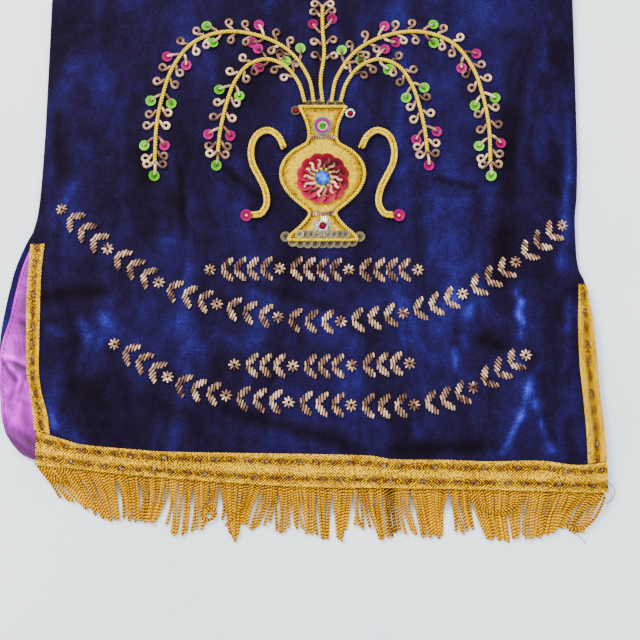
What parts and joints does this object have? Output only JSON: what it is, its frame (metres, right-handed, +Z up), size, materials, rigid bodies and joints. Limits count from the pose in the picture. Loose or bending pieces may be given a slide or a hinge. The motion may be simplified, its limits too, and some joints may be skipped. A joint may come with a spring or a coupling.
{
  "type": "torah mantle",
  "caption": "Velvet cover for a torah scroll, lying on its back: two panels open at the hem, galloon band, cord fringe and an embroidered flower urn",
  "frame": {"origin": "middle of the flat underside of the back panel, on the surface the mantle lies on", "axes": "+Z up from that surface, +Y towards the mantle's closed top, +X to the right seen from the front"},
  "size_m": [0.4464, 0.8291, 0.0187],
  "materials": {
    "velvet": "dark navy cut-pile velvet with crushed patches",
    "satin": "orchid purple satin lining, soft sheen",
    "galloon": "woven silk galloon, golden yellow with a tarnished metal thread down its middle",
    "fringe_cord": "golden yellow twisted rayon cord",
    "gold_cord": "pale gold twisted and braided cord",
    "red_sequin": "glossy crimson sequins",
    "pink_sequin": "glossy magenta sequin",
    "silver_sequin": "glossy silvery sequin",
    "blue_stone": "faceted blue glass stone",
    "bullion": "tarnished copper-tan bullion wire purl",
    "green_sequin": "glossy lime green sequin"
  },
  "bodies": {
    "root": {"back_panel": "velvet", "back_lining": "satin", "front_panel": "velvet", "side_galloon_left": "galloon", "side_galloon_right": "galloon", "hem_galloon_upper": "galloon", "hem_galloon_lower": "galloon", "fringe": "fringe_cord", "urn_applique": "gold_cord", "urn_flower": "red_sequin", "urn_flower_stone": "blue_stone", "urn_neck_sequin": "pink_sequin", "urn_foot_sequin": "silver_sequin", "urn_handle_left": "gold_cord", "urn_handle_right": "gold_cord", "handle_sequin_left": "pink_sequin", "handle_sequin_right": "pink_sequin", "stem_centre": "gold_cord", "stem_inner_left": "gold_cord", "stem_inner_right": "gold_cord", "stem_outer_left": "gold_cord", "stem_outer_right": "gold_cord"}
  },
  "joints": []
}
